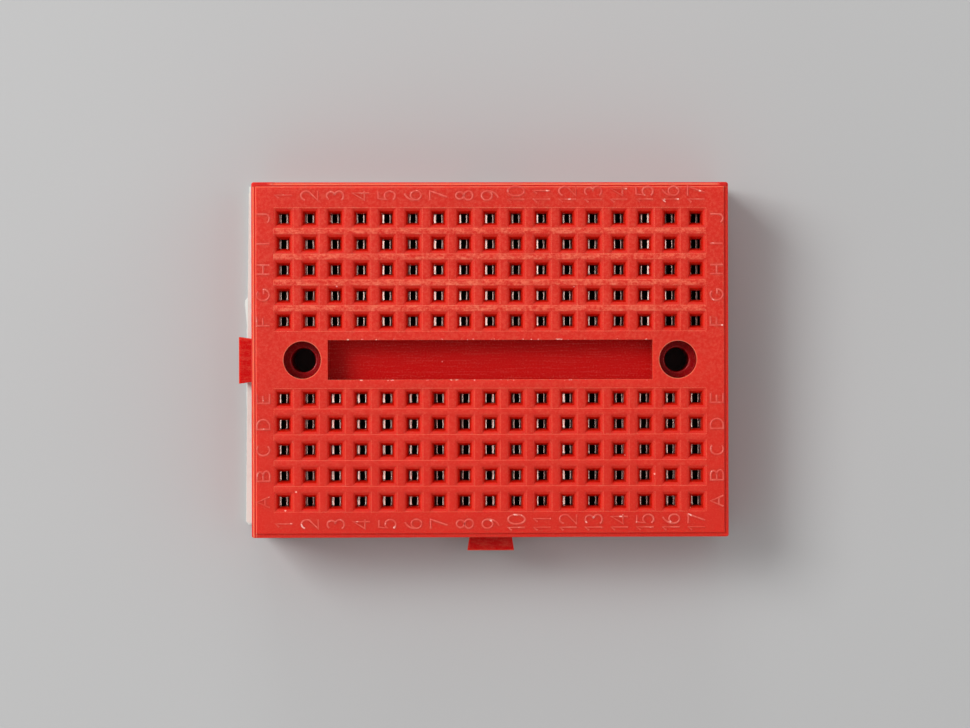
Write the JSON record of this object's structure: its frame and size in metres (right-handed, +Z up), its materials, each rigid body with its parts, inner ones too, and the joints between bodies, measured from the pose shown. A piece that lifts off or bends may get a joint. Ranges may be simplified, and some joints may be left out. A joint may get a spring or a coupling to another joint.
{
  "type": "solderless breadboard",
  "caption": "Small solderless breadboard: a red moulded housing with two banks of spring contact clips, a centre trench, dovetail tabs, foam tape and a peel-off liner.",
  "frame": {"origin": "on the underside of the release liner, below the middle of the tie-point pattern", "axes": "+X along the seventeen columns, away from the tab on a short wall; +Y across the two banks, towards row J and away from the tab on a long wall; +Z up, out of the face with the holes"},
  "size_m": [0.0484, 0.0366, 0.0095],
  "materials": {
    "housing": "moulded red ABS, satin, with light scuffs on the ribs between rows",
    "clip_metal": "nickel-plated phosphor bronze sheet, bright",
    "foam": null,
    "liner": "greyish-white coated paper"
  },
  "bodies": {
    "board": {"housing": "housing", "contact_clip_upper_01": "clip_metal", "contact_clip_upper_02": "clip_metal", "contact_clip_upper_03": "clip_metal", "contact_clip_upper_04": "clip_metal", "contact_clip_upper_05": "clip_metal", "contact_clip_upper_06": "clip_metal", "contact_clip_upper_07": "clip_metal", "contact_clip_upper_08": "clip_metal", "contact_clip_upper_09": "clip_metal", "contact_clip_upper_10": "clip_metal", "contact_clip_upper_11": "clip_metal", "contact_clip_upper_12": "clip_metal", "contact_clip_upper_13": "clip_metal", "contact_clip_upper_14": "clip_metal", "contact_clip_upper_15": "clip_metal", "contact_clip_upper_16": "clip_metal", "contact_clip_upper_17": "clip_metal", "contact_clip_lower_01": "clip_metal", "contact_clip_lower_02": "clip_metal", "contact_clip_lower_03": "clip_metal", "contact_clip_lower_04": "clip_metal", "contact_clip_lower_05": "clip_metal", "contact_clip_lower_06": "clip_metal", "contact_clip_lower_07": "clip_metal", "contact_clip_lower_08": "clip_metal", "contact_clip_lower_09": "clip_metal", "contact_clip_lower_10": "clip_metal", "contact_clip_lower_11": "clip_metal", "contact_clip_lower_12": "clip_metal", "contact_clip_lower_13": "clip_metal", "contact_clip_lower_14": "clip_metal", "contact_clip_lower_15": "clip_metal", "contact_clip_lower_16": "clip_metal", "contact_clip_lower_17": "clip_metal", "foam_tape": "foam"},
    "liner": {"release_liner": "liner"}
  },
  "joints": [
    {"name": "liner_peel", "type": "slide", "parent": "board", "child": "liner", "axis": [-1, 0, 0], "range_m": [0, 0.05]}
  ]
}
